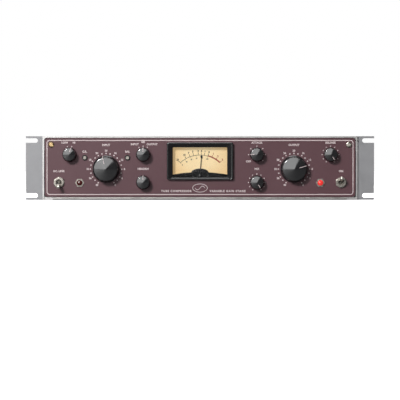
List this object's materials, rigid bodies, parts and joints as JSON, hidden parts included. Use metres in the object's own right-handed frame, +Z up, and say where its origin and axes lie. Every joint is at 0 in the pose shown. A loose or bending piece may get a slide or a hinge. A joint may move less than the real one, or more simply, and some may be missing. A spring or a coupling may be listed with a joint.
{
  "type": "rack compressor",
  "caption": "Two-unit rack tube compressor with a hinged burgundy front door, round meter-side knobs, toggles, pilot lamps and a VU meter.",
  "frame": {"origin": "on the underside of the chassis, midway between the rack ears, in the plane of the ears' rear faces", "axes": "+X to the right seen from the front, +Y to the rear, +Z up"},
  "size_m": [0.4826, 0.208, 0.0881],
  "materials": {
    "burgundy_paint": "satin",
    "ear_paint": "satin",
    "plated_steel": "satin",
    "grey_steel": "satin",
    "nickel": "polished",
    "brass": "satin",
    "black_plastic": "satin",
    "black_bakelite": "gloss",
    "glass": "satin",
    "dial_card": "satin",
    "needle_black": "satin",
    "lamp_dark": "satin",
    "lamp_red": "satin",
    "transformer_black": "satin",
    "can_aluminium": "satin",
    "ceramic_white": "satin",
    "tube_metal": "satin",
    "board_brown": "satin"
  },
  "bodies": {
    "chassis": {"front_frame": "plated_steel", "chassis_tray": "grey_steel", "top_plate": "grey_steel", "component_deck": "grey_steel", "rack_ear_left": "ear_paint", "rack_ear_right": "ear_paint", "ear_screws": "nickel", "hinge_leaf_fixed": "nickel", "hinge_pin": "nickel", "door_catches": "plated_steel", "power_transformer": "transformer_black", "output_transformer": "transformer_black", "input_transformer": "transformer_black", "filter_capacitors": "can_aluminium", "tube_sockets": "ceramic_white", "tube_glass": "glass", "tube_electrodes": "tube_metal", "circuit_boards": "board_brown", "mains_inlet": "black_plastic", "fuse_holder": "black_plastic", "terminal_strip": "black_bakelite"},
    "door": {"door_panel": "burgundy_paint", "hinge_leaf_door": "nickel", "attenuators": "plated_steel", "rotary_switches": "plated_steel", "potentiometers": "plated_steel", "panel_nuts": "nickel", "toggle_bodies": "nickel", "lamp_lens_left": "lamp_dark", "lamp_lens_right": "lamp_red", "lamp_bezels": "nickel", "meter_bezel": "black_plastic", "meter_glass": "glass", "meter_case": "black_plastic", "meter_dial": "dial_card", "meter_mask": "black_plastic", "meter_movement": "plated_steel"},
    "needle": {"meter_needle": "needle_black"},
    "knob_input": {"knob_input": "black_bakelite", "shaft_input": "plated_steel"},
    "knob_output": {"knob_output": "black_bakelite", "shaft_output": "plated_steel"},
    "knob_ratio": {"knob_ratio": "black_bakelite", "shaft_ratio": "plated_steel"},
    "knob_meter": {"knob_meter": "black_bakelite", "shaft_meter": "plated_steel"},
    "knob_headroom": {"knob_headroom": "black_bakelite", "shaft_headroom": "plated_steel"},
    "knob_attack": {"knob_attack": "black_bakelite", "shaft_attack": "plated_steel"},
    "knob_mix": {"knob_mix": "black_bakelite", "shaft_mix": "plated_steel"},
    "knob_release": {"knob_release": "black_bakelite", "shaft_release": "plated_steel"},
    "toggle_left": {"toggle_lever_left": "nickel"},
    "toggle_right": {"toggle_lever_right": "nickel"},
    "trimmer_gain_reduction": {"trimmer_gain_reduction": "nickel"},
    "trimmer_balance": {"trimmer_balance": "nickel"},
    "door_screw_left": {"door_screw_left": "brass"},
    "door_screw_right": {"door_screw_right": "brass"}
  },
  "joints": [
    {"name": "door_hinge", "type": "hinge", "parent": "chassis", "child": "door", "pos_m": [0, -0.0035, 0.0022], "axis": [1, 0, 0], "range_deg": [0, 90]},
    {"name": "needle_swing", "type": "hinge", "parent": "door", "child": "needle", "pos_m": [0, -0.003, 0.033], "axis": [0, 1, 0], "range_deg": [-54.5, 45.5], "stiffness_Nm_per_rad": 0.0002},
    {"name": "input_turn", "type": "hinge", "parent": "door", "child": "knob_input", "pos_m": [-0.13, -0.007, 0.0425], "axis": [0, 1, 0], "range_deg": [-135, 165]},
    {"name": "output_turn", "type": "hinge", "parent": "door", "child": "knob_output", "pos_m": [0.13, -0.007, 0.0425], "axis": [0, 1, 0], "range_deg": [-225, 75]},
    {"name": "ratio_turn", "type": "hinge", "parent": "door", "child": "knob_ratio", "pos_m": [-0.1806, -0.007, 0.0626], "axis": [0, 1, 0], "range_deg": [-30, 0]},
    {"name": "meter_turn", "type": "hinge", "parent": "door", "child": "knob_meter", "pos_m": [-0.0787, -0.007, 0.0626], "axis": [0, 1, 0], "range_deg": [-30, 30]},
    {"name": "headroom_turn", "type": "hinge", "parent": "door", "child": "knob_headroom", "pos_m": [-0.0787, -0.007, 0.0241], "axis": [0, 1, 0], "range_deg": [-150, 150]},
    {"name": "attack_turn", "type": "hinge", "parent": "door", "child": "knob_attack", "pos_m": [0.0787, -0.007, 0.0626], "axis": [0, 1, 0], "range_deg": [-45, 225]},
    {"name": "mix_turn", "type": "hinge", "parent": "door", "child": "knob_mix", "pos_m": [0.0787, -0.007, 0.0241], "axis": [0, 1, 0], "range_deg": [-300, 0]},
    {"name": "release_turn", "type": "hinge", "parent": "door", "child": "knob_release", "pos_m": [0.1806, -0.007, 0.0626], "axis": [0, 1, 0], "range_deg": [-295, 5]},
    {"name": "toggle_left_flip", "type": "hinge", "parent": "door", "child": "toggle_left", "pos_m": [-0.1952, -0.006, 0.0241], "axis": [1, 0, 0], "range_deg": [-34, 0]},
    {"name": "toggle_right_flip", "type": "hinge", "parent": "door", "child": "toggle_right", "pos_m": [0.1952, -0.006, 0.0241], "axis": [1, 0, 0], "range_deg": [0, 34]},
    {"name": "trimmer_gain_reduction_turn", "type": "hinge", "parent": "door", "child": "trimmer_gain_reduction", "pos_m": [-0.1595, -0.007, 0.0583], "axis": [0, 1, 0], "range_deg": [-135, 135]},
    {"name": "trimmer_balance_turn", "type": "hinge", "parent": "door", "child": "trimmer_balance", "pos_m": [-0.1004, -0.007, 0.0583], "axis": [0, 1, 0], "range_deg": [-135, 135]},
    {"name": "door_screw_left_turn", "type": "hinge", "parent": "door", "child": "door_screw_left", "pos_m": [-0.206, -0.007, 0.0764], "axis": [0, 1, 0], "continuous": true},
    {"name": "door_screw_right_turn", "type": "hinge", "parent": "door", "child": "door_screw_right", "pos_m": [0.206, -0.007, 0.0764], "axis": [0, 1, 0], "continuous": true}
  ]
}
